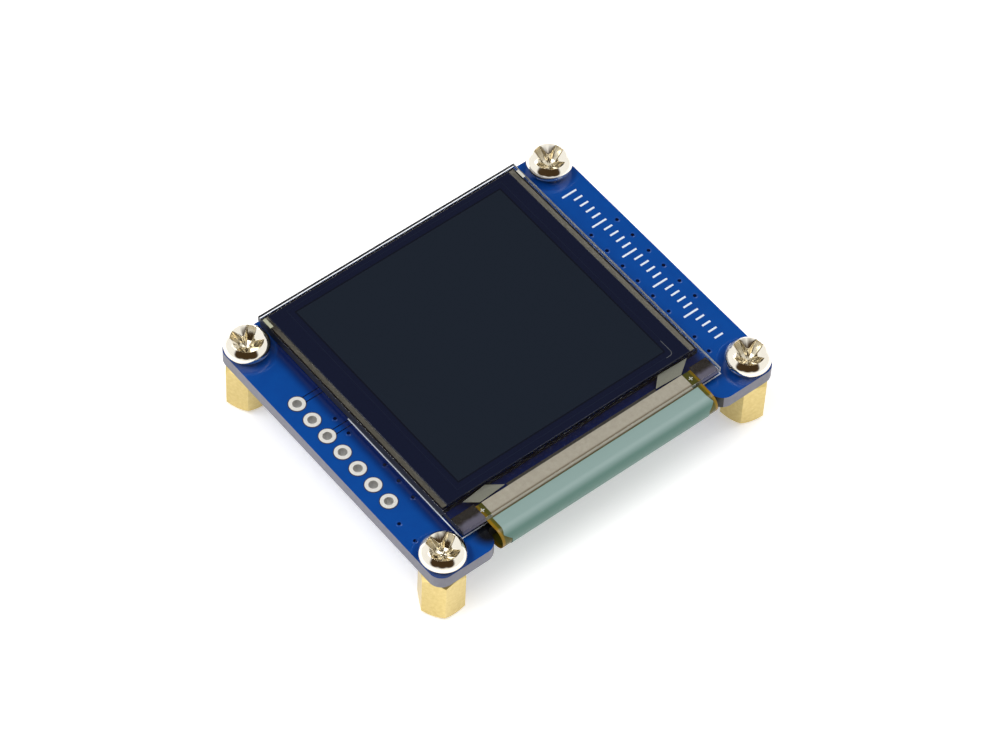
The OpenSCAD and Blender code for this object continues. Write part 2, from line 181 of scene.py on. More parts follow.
def mixed(tree: Tree, share: Socket, first: Socket | str, second: Socket | str) -> Socket:
    """Mixes two colours.

    Args:
        tree: The node tree.
        share: Share of the second colour.
        first: The first colour as a socket or as sRGB hex.
        second: The second colour, likewise.

    Returns:
        The colour socket.
    """
    colours = {place: linear(c) if isinstance(c, str) else c for place, c in ((6, first), (7, second))}
    return add_node(tree, "Mix", {"data_type": "RGBA"}, {0: share, **colours}).outputs[2]


def in_plan(point: Pair) -> tuple[float, float, float]:
    """A point of the plan in metres."""
    return point[0] * MM, point[1] * MM, 0.0


def outside(tree: Tree, where: Socket, centre: Pair, half: Pair) -> Socket:
    """Distance outwards from a rectangle in the plan.

    Args:
        tree: The node tree.
        where: Object coordinates.
        centre: Middle of the rectangle in millimetres.
        half: Half its sides in millimetres.

    Returns:
        The distance in metres, negative inside.
    """
    apart = compute_vector(tree, "ABSOLUTE", compute_vector(tree, "SUBTRACT", where, in_plan(centre)))
    past = compute_vector(tree, "SUBTRACT", apart, in_plan(half))
    return compute(tree, "MAXIMUM", coordinate(tree, past, 0), coordinate(tree, past, 1))


@dataclass(frozen=True)
class Zone:
    """A stretch along an axis with a colour of its own.

    Attributes:
        colour: Its colour as sRGB hex.
        axis: The axis, 0 to 2.
        places: Where the surface's own colour ends and where this one is full, in millimetres, in either order.
        mirrored: Whether the places are distances to both sides of the origin.
        sway: How far its border wanders, in millimetres.
    """

    colour: str
    axis: int
    places: Pair
    mirrored: bool = False
    sway: float = 0.0

    def share(self, tree: Tree, where: Socket, grain: float) -> Socket:
        """Share of the zone's colour.

        Args:
            tree: The material's nodes.
            where: Object coordinates.
            grain: Width of the border's bends in millimetres.

        Returns:
            The share as a socket.
        """
        place = coordinate(tree, where, self.axis)
        if self.mirrored:
            place = compute(tree, "ABSOLUTE", place)
        if self.sway:
            half = self.sway / 2 * MM
            bend = compute(tree, "MULTIPLY_ADD", clouds(tree, where, grain), 2 * half, -half)
            place = compute(tree, "ADD", place, bend)
        return soft_step(tree, place, *(p * MM for p in self.places))


@dataclass(frozen=True)
class Finish:
    """A surface: its colour with a faint cloudy drift, its gloss and its finest relief.

    Attributes:
        name: Material name.
        colour: Main colour as sRGB hex.
        drift: Colour it drifts to, as sRGB hex.
        roughness: Microscopic roughness.
        metallic: One for bare metal.
        ior: Index of refraction of a non-metal.
        grain: Width of the drift and relief in millimetres.
        relief: Height of the relief in millimetres.
        transmission: Weight of light that goes through.
        glow: Light that the surface gives off by itself.
        zone: A stretch that has another colour.
    """

    name: str
    colour: str
    drift: str
    roughness: float = 0.4
    metallic: float = 0.0
    ior: float = 1.5
    grain: float = 0.5
    relief: float = 0.0
    transmission: float = 0.0
    glow: float = 0.0
    zone: Zone | None = None

    def tint(self, tree: Tree, where: Socket) -> Socket:
        """Colour of the surface without its zone.

        Args:
            tree: The material's nodes.
            where: Object coordinates.

        Returns:
            The colour socket.
        """
        return mixed(tree, clouds(tree, where, self.grain), self.colour, self.drift)

    def height(self, tree: Tree, where: Socket) -> Socket | None:
        """Relief as a socket from nought to one, or None for a smooth surface."""
        return clouds(tree, where, self.grain / 3, 4.0) if self.relief else None

    def material(self) -> bpy.types.Material:
        """The material, made once and then shared."""
        if self.name in MADE:
            return MADE[self.name]
        MADE[self.name] = made = bpy.data.materials.new(self.name)
        made.use_nodes = True
        tree = made.node_tree
        shader = tree.nodes["Principled BSDF"]
        where = add_node(tree, "TexCoord").outputs["Object"]
        tint = self.tint(tree, where)
        if self.zone:
            tint = mixed(tree, self.zone.share(tree, where, self.grain), tint, self.zone.colour)
        tree.links.new(tint, shader.inputs["Base Color"])
        for key, value in (
            ("Roughness", self.roughness),
            ("Metallic", self.metallic),
            ("Transmission Weight", self.transmission),
            ("Emission Color", linear(self.colour)),
            ("Emission Strength", self.glow),
        ):
            shader.inputs[key].default_value = value
        if not self.metallic:
            shader.inputs["IOR"].default_value = self.ior
        height = self.height(tree, where)
        if height:
            bump = add_node(tree, "Bump", None, {"Height": height, "Distance": self.relief * MM, "Strength": 1.0})
            tree.links.new(bump.outputs["Normal"], shader.inputs["Normal"])
        return made


@dataclass(frozen=True)
class ClearGlass(Finish):
    """Polished glass that bends what is seen through it and lets the lamps light what lies behind it."""

    def material(self) -> bpy.types.Material:
        """The glass, with a clear stand-in for shadow rays and for light that was scattered before."""
        if self.name in MADE:
            return MADE[self.name]
        made = super().material()
        tree = made.node_tree
        ray = add_node(tree, "LightPath").outputs
        past = compute(tree, "MAXIMUM", ray["Is Shadow Ray"], ray["Is Diffuse Ray"])
        clear = add_node(tree, "BsdfTransparent", None, {0: linear(self.drift)}).outputs[0]
        glass = tree.nodes["Principled BSDF"].outputs[0]
        mix = add_node(tree, "MixShader", None, {0: past, 1: glass, 2: clear})
        tree.links.new(mix.outputs[0], tree.nodes["Material Output"].inputs[0])
        return made


@dataclass(frozen=True)
class MaskWithPaintedShade(Finish):
    """Solder mask with painted shade in three places: under and round the panel, round each fixing and in the corner
    beside the flex. The shade round each fixing also stands for the heads' dark reflection in the gloss.

    Attributes:
        bare: Colour of the painted shade under and round the panel.
        centre: Middle of that shade's rectangle in millimetres.
        half: Half its sides.
        soft: Width of the border between that shade and the mask's own colour.
        corner: Middle of the painted shadow in the corner beside the flex.
        reach: Radius where that painted shadow is darkest and where it has faded.
        dark: Its colour.
        screw_shade_at: Place of the four fixings along X and Y, round which the painted shade lies.
        screw_shade_r: Radii between which that painted shade ends.
        clear: Colour of that painted shade and painted reflection.
    """

    bare: str = "#011b57"
    centre: Pair = (-0.9, 1.2)
    half: Pair = (17.3, 16.9)
    soft: float = 1.5
    corner: Pair = (-14.45, -16.55)
    reach: Pair = (0.8, 2.3)
    dark: str = "#0a0d14"
    screw_shade_at: Pair = (20.0, 16.25)
    screw_shade_r: Pair = (2.97, 3.22)
    clear: str = "#053a84"

    def tint(self, tree: Tree, where: Socket) -> Socket:
        """Colour by place."""
        colour = super().tint(tree, where)
        flat = compute_vector(tree, "MULTIPLY", where, (1, 1, 0))
        quarter = compute_vector(tree, "ABSOLUTE", flat)
        # Painted shade: under and round the panel, round each fixing and in the corner beside the flex.
        for value, (near, far), hue in (
            (outside(tree, where, self.centre, self.half), (-self.soft / 2, self.soft / 2), self.bare),
            (compute_vector(tree, "DISTANCE", quarter, in_plan(self.screw_shade_at)), self.screw_shade_r, self.clear),
            (compute_vector(tree, "DISTANCE", flat, in_plan(self.corner)), self.reach, self.dark),
        ):
            colour = mixed(tree, soft_step(tree, value, near * MM, far * MM), hue, colour)
        return colour


@dataclass(frozen=True)
class Striped(Finish):
    """A finish with parallel stripes across one axis, such as laminate plies or foil fingers.

    Attributes:
        pitch: Stripe pitch in millimetres.
        axis: Axis that the stripes follow one another along, 0 to 2.
        contrast: Share of the drift colour that the stripes add.
    """

    pitch: float = 0.2
    axis: int = 2
    contrast: float = 1.0

    def stripes(self, tree: Tree, where: Socket) -> Socket:
        """Stripes as a socket from nought to one: a wave texture of scale one has 20 / tau to the metre."""
        settings = {"wave_type": "BANDS", "bands_direction": "XYZ"[self.axis]}
        scale = per_mm(self.pitch) * math.tau / 20
        return add_node(tree, "TexWave", settings, {"Vector": where, "Scale": scale}).outputs["Fac"]

    def tint(self, tree: Tree, where: Socket) -> Socket:
        """Colour with the stripes laid over its drift."""
        share = compute(tree, "MULTIPLY", self.stripes(tree, where), self.contrast)
        return mixed(tree, share, super().tint(tree, where), self.drift)

    def height(self, tree: Tree, where: Socket) -> Socket | None:
        """The stripes' own relief."""
        return self.stripes(tree, where) if self.relief else None


@dataclass(frozen=True)
class PictureFilm(Finish):
    """The polariser: near-black film, with the picture area and its frame lines showing through it.

    Attributes:
        centre: Middle of the picture area in millimetres.
        half: Half its sides.
        picture: Colour of the unlit picture area.
        edge: Colour of the thin dark line round it.
        edge_width: Width of that line.
        frame: Colour of the faint frame line.
        frame_gap: Distance of the frame line outside the picture area.
        frame_width: Width of the frame line.
    """

    centre: Pair = (-0.365, 2.58)
    half: Pair = (13.43, 13.43)
    picture: str = "#18202b"
    edge: str = "#0c111d"
    edge_width: float = 0.16
    frame: str = "#161d2e"
    frame_gap: float = 0.75
    frame_width: float = 0.07

    def tint(self, tree: Tree, where: Socket) -> Socket:
        """Border colour, then the picture area and the two lines over it."""
        distance = outside(tree, where, self.centre, self.half)
        colour = mixed(tree, compute(tree, "LESS_THAN", distance, 0.0), super().tint(tree, where), self.picture)
        for middle, width, hue in (
            (self.edge_width / 2, self.edge_width, self.edge),
            (self.frame_gap, self.frame_width, self.frame),
        ):
            line = compute(tree, "COMPARE", distance, middle * MM, width / 2 * MM)
            colour = mixed(tree, line, colour, hue)
        return colour


# Solder mask: a printed epoxy coat, glossy with a slight orange peel, with painted shade in three places.
SOLDER_MASK = MaskWithPaintedShade("solder_mask_blue", "#034797", "#033f8c", 0.2, ior=1.45, grain=1.2, relief=0.0008)
# Glass-fibre laminate, milled at the board's edge: dull grey-lilac plies.
LAMINATE = Striped("glass_fibre_laminate", "#85858f", "#6e6e79", 0.6, grain=0.6, relief=0.01, pitch=0.22, contrast=0.5)
# The same on the notch's edge where the flex turns, painted near black as shade.
NOTCH_SHADE = Finish("notch_edge_painted_shade", "#24231f", "#1c1b18", 0.6, grain=0.3)
# Tinned copper pads: soft silver, wetted flat.
TIN = Finish("tinned_copper", "#e2e1dc", "#d6d5cf", 0.45, 0.15, grain=0.4, relief=0.004)
# The same in the hole, darker as painted shade.
PAD_BORE_SHADED = Finish("plated_bore_painted_shade", "#c6c5c1", "#b4b2ac", 0.5, 0.2, grain=0.2)
# Free-cutting brass bar, drawn hexagon: warm, with the faint mottle left by the die.
BRASS = Finish("drawn_brass", "#e2ce90", "#c6ae69", 0.3, 1.0, grain=0.35, relief=0.006)
# Bright nickel plate over cold-formed steel: mirror-like with a warm cast.
NICKEL = Finish("bright_nickel_plate", "#f3eee2", "#eae3d3", 0.09, 1.0, grain=0.9, relief=0.0006)
# The same down in the recess, where the punch left it duller, darker and warmer as painted shade and reflection.
RECESS_SHADED = Finish("plated_recess_painted_shade", "#ddd6c4", "#b8ad93", 0.13, 1.0, grain=0.25, relief=0.0015)
# Clear float glass, polished.
GLASS = ClearGlass("clear_float_glass", "#f2f4f2", "#eef1ee", 0.0, ior=1.52, transmission=1.0)
# Ground edges of the glasses, one ground finish in four tones of painted light and shade:
# painted shade at the left, where little light gets in behind them, and paler tones of painted light round the rest.
GROUND_LEFT = Finish("ground_glass_left_painted_shade", "#1e2026", "#17191e", 0.3, ior=1.52, grain=0.2)
GROUND_RIGHT = Finish("ground_glass_right_painted_light", "#d2d2d7", "#bebfc5", 0.3, ior=1.52, grain=0.2)
GROUND_BACK = Finish("ground_glass_back", "#62656c", "#54565c", 0.3, ior=1.52, grain=0.2)
GROUND_CAP = Finish("ground_cap_edge", "#544f47", "#45413a", 0.3, ior=1.52, grain=0.2)
# Painted shade under the corners of the contact ledge: dark brown, thinning to a paler painted reflection in front.
LEDGE_CORNER_SHADE = Finish(
    "ledge_corner_painted_shade", "#221d1b", "#221d1b", 0.25, grain=1.0, zone=Zone("#625e70", 1, (-14.6, -15.2), sway=0.5)
)
# Painted shade in the gap behind the contact strip, where the film ends.
STRIP_GAP_SHADE = Finish("strip_gap_painted_shade", "#2b2725", "#34302c", 0.3, grain=0.8)
# Corner of the frame line that catches the light.
FRAME_GLINT = Finish("frame_line_glint", "#55575a", "#4a4c50", 0.4, grain=0.3)
# Circular polariser laminated on the glass: smooth dark film.
POLARISER = PictureFilm("polariser_film", "#101629", "#11172c", 0.06, ior=1.45, grain=6.0)
# Thin film left on the glass at one corner.
CORNER_FILM = Finish("corner_film", "#b4b69e", "#a5a790", 0.35, grain=0.3)
# Cured sealing resin between the glasses.
SEAL = Finish("cured_seal_resin", "#7d766b", "#6c675d", 0.45, grain=0.3, relief=0.002)
# Foam tape, black.
TAPE = Finish("foam_tape", "#1c1c1e", "#242426", 0.8, grain=0.15, relief=0.01)
# Desiccant sheet and the thin display layers, both sealed inside the glass.
DESICCANT = Finish("desiccant_sheet", "#d8d8d0", "#cfcfc6", 0.8, grain=0.1, relief=0.01)
DISPLAY_LAYERS = Finish("display_layers", "#2b2f36", "#262a31", 0.2, grain=2.0)
# Copper fingers pressed into clear bonding resin: fine beige stripes, with a brown painted shade at the glass's front
# edge.
FOIL = Striped(
    "foil_fingers", "#c4bbae", "#9f9689", 0.4, 0.1,
    grain=0.5, pitch=0.1, axis=0, contrast=0.7, zone=Zone("#6b5c49", 1, (-15.35, -15.65)),
)
# Polyimide film: amber, glossy, lets some light through, and dark olive where copper backs it, between its long edges.
POLYIMIDE = Finish(
    "amber_polyimide", "#a5821a", "#856812", 0.2,
    ior=1.33, grain=0.7, transmission=0.25, zone=Zone("#5d5a20", 0, (13.9, 13.7), mirrored=True),
)
# Green photo-imaged cover film with the copper tracks just showing: paler above the bend, where it lies flat, as
# painted light.
COVER = Striped(
    "photoimaged_cover_film", "#587c72", "#52756b", 0.42,
    grain=3.0, relief=0.0015, pitch=0.16, axis=0, contrast=0.6, zone=Zone("#839b97", 2, (7.9, 8.5)),
)
# Transfer-moulded epoxy.
MOULDED = Finish("moulded_epoxy", "#1d1d1f", "#242427", 0.55, grain=0.08, relief=0.004)
# Soft solder, wetted and bright.
SOLDER = Finish("soft_solder", "#d2d3d5", "#bfc0c3", 0.25, 1.0, grain=0.3, relief=0.003)
# Pressed ferrite.
FERRITE = Finish("pressed_ferrite", "#3a3a3d", "#45454a", 0.6, grain=0.12, relief=0.006)
# Fired ceramic body of a chip capacitor.
CERAMIC = Finish("fired_ceramic", "#a07d56", "#8f6d49", 0.5, grain=0.1, relief=0.003)
# White epoxy ink, screen printed.
INK = Finish("white_marking_ink", "#dfe7f0", "#d3dce8", 0.5, grain=0.2, relief=0.003)
# Shadowed hollow of a via or a track gap, and the opening in the mask round a pad.
HOLLOW = Finish("via_hollow", "#030a2c", "#020720", 0.15, ior=1.4, grain=0.2)
PAD_GAP = Finish("mask_opening", "#0c1c47", "#0a1638", 0.6, grain=0.2)
# Thin aluminium marks on the glass.
METAL_MARK = Finish("evaporated_aluminium", "#8b8a80", "#7d7c72", 0.35, 0.3, grain=0.2)
BRIGHT_MARK = Finish("bright_alignment_mark", "#e9e9e0", "#dddcd2", 0.3, 0.3, grain=0.2)
# Matt paper over a light table, under the module.
PAPER = Finish("white_paper_sweep", "#fafafa", "#f8f8f8", 0.9, grain=20.0, glow=0.38)


# ---------------------------------------------------------------- making pieces


def cad_copy(node: str) -> Mesh:
    """A solid's mesh with its loose triangles merged and flat faces joined.

    Args:
        node: Name of the solid.

    Returns:
        The mesh, ready to be painted and published.
    """
    bm = bmesh.new()
    bm.from_mesh(frame["nodes"][node].data)
    bmesh.ops.remove_doubles(bm, verts=bm.verts, dist=WELD * MM)
    bmesh.ops.dissolve_limit(
        bm, angle_limit=math.radians(FLAT), use_dissolve_boundaries=False, verts=bm.verts, edges=bm.edges
    )
    return bm


def thinned(bm: Mesh, gap: float = LOOSE) -> Mesh:
    """Draws a layer's two faces a hair off the solid's, so that neither lies in the glass's own face.

    Args:
        bm: The layer's mesh.
        gap: How far each face moves inwards, in millimetres.

    Returns:
        The same mesh.
    """
    heights = [v.co.z for v in bm.verts]
    middle = (max(heights) + min(heights)) / 2
    for vert in bm.verts:
        vert.co.z += gap * MM * math.copysign(1, middle - vert.co.z)
    return bm


def show(name: str, data: bpy.types.ID) -> bpy.types.Object:
    """Makes an object and links it to the scene."""
    made = bpy.data.objects.new(name, data)
    bpy.context.scene.collection.objects.link(made)
    return made


def show_mesh(bm: Mesh, name: str, finishes: Sequence[Finish]) -> bpy.types.Object:
    """Makes an object of a mesh.

    Args:
        bm: The mesh in metres, freed here.
        name: The object's name.
        finishes: One for each material index.

    Returns:
        The object.
    """
    mesh = bpy.data.meshes.new(name)
    bm.to_mesh(mesh)
    bm.free()
    for finish in finishes:
        mesh.materials.append(finish.material())
    return show(name, mesh)


def publish(
    bm: Mesh,
    name: str,
    finishes: Sequence[Finish],
    *,
    stands_for: Sequence[str] = (),
    sharp: float = 32.0,
    ease: float = 0.0,
) -> None:
    """Makes a piece of a mesh and hangs it on the model.

    Args:
        bm: The mesh in metres, freed here.
        name: Piece name.
        finishes: One for each material index.
        stands_for: Solids that the piece is shown in place of.
        sharp: Angle in degrees above which an edge stays sharp.
        ease: Width in millimetres of the eased edges, nought for none.
    """
    for face in bm.faces:
        face.smooth = True
    limit = math.radians(sharp)
    for edge in bm.edges:
        edge.smooth = len(edge.link_faces) == 2 and edge.calc_face_angle(0.0) < limit
    piece = show_mesh(bm, name, finishes)
    if ease:
        bevel = piece.modifiers.new("eased_edges", "BEVEL")
        bevel.width = ease * MM
        bevel.segments = 2
        bevel.limit_method = "ANGLE"
        bevel.angle_limit = limit
        bevel.use_clamp_overlap = True
    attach(piece, BODY)
    if stands_for:
        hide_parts(*stands_for)
    LOG.info("%s: %d faces", name, len(piece.data.polygons))


def paint(bm: Mesh, choose: Callable[[Face], int]) -> None:
    """Gives each face the material index that choose returns for it."""
    bm.normal_update()
    for face in bm.faces:
        face.material_index = choose(face)


def verts_in(geom: Iterable[object]) -> list[bmesh.types.BMVert]:
    """The corners among what an operator made."""
    return [g for g in geom if isinstance(g, bmesh.types.BMVert)]


def add_box(bm: Mesh, low: Sequence[float], high: Sequence[float]) -> None:
    """Adds a box.

    Args:
        bm: Mesh that gets it.
        low: Its lowest corner in millimetres.
        high: Its highest corner in millimetres.
    """
    start, end = Vector(low) * MM, Vector(high) * MM
    place = Matrix.Translation((start + end) / 2) @ Matrix.Diagonal((*(end - start), 1))
    bmesh.ops.create_cube(bm, size=1.0, matrix=place)


def add_spun(
    bm: Mesh,
    centre: Sequence[float],
    section: Sequence[Pair],
    steps: int,
    *,
    material: int = 0,
    angle: float = math.tau,
    rise: float = 0.0,
) -> None:
    """Spins a closed section about an upright axis: a ring, or else an arc or a coil with capped ends.

    Args:
        bm: Mesh that gets it.
        centre: Point on the axis in millimetres.
        section: Radius and height of each corner in millimetres.
        steps: Steps on the way.
        material: Material index of its faces.
        angle: How far it turns in radians, a whole turn for a ring.
        rise: Height gained at each step in millimetres.
    """
    axis = Vector(centre) * MM
    verts = [bm.verts.new(axis + Vector((r, 0, z)) * MM) for r, z in section]
    edges = [bm.edges.new(pair) for pair in zip(verts, [*verts[1:], verts[0]])]
    before = set(bm.faces)
    ring = angle == math.tau
    last = bmesh.ops.spin(
        bm,
        geom=[*verts, *edges],
        cent=axis,
        axis=(0, 0, 1),
        dvec=(0, 0, rise * MM),
        angle=angle,
        steps=steps,
        use_merge=ring,
    )["geom_last"]
    if not ring:
        bmesh.ops.contextual_create(bm, geom=verts)
        bmesh.ops.contextual_create(bm, geom=verts_in(last))
    made = [f for f in bm.faces if f not in before]
    bmesh.ops.recalc_face_normals(bm, faces=made)
    for face in made:
        face.material_index = material


def loft(bm: Mesh, levels: Sequence[Level], steps: int) -> None:
    """Skins a stack of closed loops about the origin's upright axis and caps both ends.

    Args:
        bm: Mesh that gets the skin.
        levels: For each loop, a function from the angle in radians to radius and height in millimetres.
        steps: Points round each loop.
    """
    ring = bmesh.ops.create_circle(bm, cap_ends=True, radius=MM, segments=steps)["verts"]
    edges = [e for e in bm.edges if all(v in ring for v in e.verts)]
    for i, level in enumerate(levels):
        if i:
            made = bmesh.ops.extrude_edge_only(bm, edges=edges)["geom"]
            edges = [g for g in made if isinstance(g, bmesh.types.BMEdge)]
            ring = verts_in(made)
        for vert in ring:
            angle = math.atan2(vert.co.y, vert.co.x)
            radius, height = level(angle)
            vert.co = Vector((math.cos(angle) * radius, math.sin(angle) * radius, height)) * MM
    top = bmesh.ops.contextual_create(bm, geom=edges)["faces"]
    bmesh.ops.poke(bm, faces=top)
    bmesh.ops.recalc_face_normals(bm, faces=bm.faces)


# ---------------------------------------------------------------- sub-assemblies


@dataclass
class CircuitBoard:
    """The blue board with its pads, vias, tracks and ink.

    Attributes:
        notch_room: How far the notch edge's painted shade reaches past the flex, and how far behind the board's front.
        ink: Thickness of the ink.
        outline: Left, right and front of the printed line round the panel.
        line: Width of that line.
        left_end: Place along Y where it ends at the left.
        return_l: Length of its return at the right.
        scale_at: Outer end of the printed scale's first mark.
        scale_line: Width of a mark.
        marks: Number of marks, a millimetre apart.
        mark_l: Length of a mark and of every fifth mark.
        header: Place along X and pitch of the header pads.
        pads_n: Number of pads.
        pad_r: Inner and outer radius of the opening round a pad.
        gap_z: Height of the dark fill in that opening.
        via_r: Radii of a via's middle, of its hollow, of its raised ring's top and of its foot.
        via_z: Heights of the hollow and of the ring.
        vias: Places of the vias.
        ring_r: Radius of the copper ring that shows under the mask round each fixing.
        ring_size: Half its width and its height.
        inset: How far inside the board's edge that ring is cut off.
        track_side: Distance of a track's gap from its middle.
        track_line: Half the width of such a gap, and the height of its dark line.
        track_lap: How far it runs past the pad's opening and past the printed line.
    """

    notch_room: Pair = (1.0, 0.2)
    ink: float = 0.02
    outline: tuple[float, float, float] = (-17.1, 16.85, -15.65)
    line: float = 0.12
    left_end: float = 3.0
    return_l: float = 0.9
    scale_at: Pair = (20.45, 12.2)
    scale_line: float = 0.22
    marks: int = 25
    mark_l: Pair = (1.1, 1.9)
    header: Pair = (-20.09, 2.54)
    pads_n: int = 7
    pad_r: Pair = (0.9, 1.01)
    gap_z: float = 0.006
    via_r: tuple[float, float, float, float] = (0.001, 0.2, 0.29, 0.34)
    via_z: Pair = (0.008, 0.02)
    vias: tuple[Pair, ...] = (
        (21.3, 6.45), (21.3, 3.87), (21.3, 1.25), (21.3, -1.22), (21.3, -3.8), (21.3, -6.29),
        (17.8, 6.48), (17.8, 3.86), (17.8, 1.31), (17.8, -1.17), (17.8, -3.66), (17.8, -6.2),
        (17.8, -10.38), (17.8, -12.68),
        (-18.14, 3.83), (-18.15, 1.55), (-17.67, -3.81), (-17.76, -6.22), (-17.85, -8.68),
        (-20.96, -10.41), (-20.97, -13.01),
    )
    ring_r: float = 3.3
    ring_size: Pair = (0.06, 0.012)
    inset: float = 0.15
    track_side: float = 0.34
    track_line: Pair = (0.05, 0.008)
    track_lap: float = 0.1
    top: float = field(init=False)

    def __post_init__(self) -> None:
        """Reads the height of the board's face."""
        self.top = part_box("circuit_board")[1].z / MM

    def board(self) -> None:
        """The board itself: mask on both faces, laminate on the edges."""
        bm = cad_copy("circuit_board")
        low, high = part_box("flex_film")
        side = self.notch_room[0] * MM
        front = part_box("circuit_board")[0].y + self.notch_room[1] * MM

        def surface(face: Face) -> int:
            """Mask on the faces, laminate on the edges, and painted shade on the notch's edge where the flex turns."""
            at = face.calc_center_median()
            if abs(face.normal.z) > FACING:
                return 0
            return 2 if low.x - side < at.x < high.x + side and front < at.y < 0 else 1

        paint(bm, surface)
        publish(bm, "board", (SOLDER_MASK, LAMINATE, NOTCH_SHADE), stands_for=["circuit_board"], ease=0.04)

    def pads(self) -> None:
        """Header pads with eased rims and painted shade in their holes, and the dark gap in the mask round each."""
        bm = cad_copy("header_plating")
        paint(bm, lambda face: int(abs(face.normal.z) < FACING))
        publish(bm, "header_pads", (TIN, PAD_BORE_SHADED), stands_for=["header_plating"], ease=0.015)
        bm = bmesh.new()
        inner, outer = self.pad_r
        for i in range(self.pads_n):
            place = (self.header[0], (i - self.pads_n // 2) * self.header[1], self.top)
            add_spun(bm, place, [(inner, 0), (outer, 0), (outer, self.gap_z), (inner, self.gap_z)], ROUND)
        publish(bm, "pad_gaps", (PAD_GAP,))

    def via_field(self) -> None:
        """Covered vias: a low ring of mask round a small dark hollow."""
        bm = bmesh.new()
        pin, hollow, rim, foot = self.via_r
        low, high = self.via_z
        for x, y in self.vias:
            place = (x, y, self.top)
            add_spun(bm, place, [(hollow, 0), (foot, 0), (rim, high), (hollow, high)], SMALL_ROUND)
            add_spun(bm, place, [(pin, 0), (hollow, 0), (hollow, low), (pin, low)], SMALL_ROUND, material=1)
        publish(bm, "vias", (SOLDER_MASK, HOLLOW))

    def copper_relief(self) -> None:
        """Copper that stands through the mask: a ring round each fixing and the gaps beside two tracks."""
        bm = bmesh.new()
        half, height = self.ring_size
        for corner in Corner:
            section = [(self.ring_r - half, 0), (self.ring_r + half, 0), (self.ring_r, height)]
            add_spun(bm, fixing(corner, self.top), section, LARGE_ROUND)
        low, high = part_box("circuit_board")
        for co, way in ((low, -1), (high, 1)):
            for axis in ((1, 0, 0), (0, 1, 0)):
                out = Vector(axis) * way
                bmesh.ops.bisect_plane(
                    bm,
                    geom=[*bm.verts, *bm.edges, *bm.faces],
                    plane_co=co - out * self.inset * MM,
                    plane_no=out,
                    clear_outer=True,
                )
        bmesh.ops.holes_fill(bm, edges=[e for e in bm.edges if e.is_boundary])
        start, end = self.header[0] + self.pad_r[0] - self.track_lap, self.outline[0] + self.track_lap
        pitch = self.header[1]
        half, height = self.track_line
        for middle in (3 * pitch, pitch):
            for y in (middle - self.track_side, middle + self.track_side):
                add_box(bm, (start, y - half, self.top), (end, y + half, self.top + height))
        paint(bm, lambda face: int(abs(face.calc_center_median().y) < 4 * pitch * MM))
        publish(bm, "copper_relief", (SOLDER_MASK, HOLLOW))

    def printing(self) -> None:
        """White ink: the line round the panel's front, and a plain millimetre scale on the free edge."""
        left, right, front = self.outline
        w, z0, z1 = self.line / 2, self.top, self.top + self.ink
        bm = bmesh.new()
        add_box(bm, (left - w, front - w, z0), (left + w, self.left_end, z1))
        add_box(bm, (right - w, front - w, z0), (right + w, front + self.return_l, z1))
        add_box(bm, (left + w, front - w, z0), (right - w, front + w, z1))
        x, start = self.scale_at
        w = self.scale_line / 2
        for i in range(self.marks):
            y = start - i
            add_box(bm, (x - self.mark_l[i % 5 == 0], y - w, z0), (x, y + w, z1))
        publish(bm, "printing", (INK,))

    def build(self) -> None:
        """Makes every piece of the board."""
        self.board()
        self.pads()
        self.via_field()
        self.copper_relief()
        self.printing()


def fixing(corner: Corner, height: float) -> tuple[float, float, float]:
    """Place of a fixing's axis at a height, in millimetres."""
    low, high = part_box("screw_" + corner.value)
    middle = (low + high) / 2 / MM
    return (middle.x, middle.y, height)


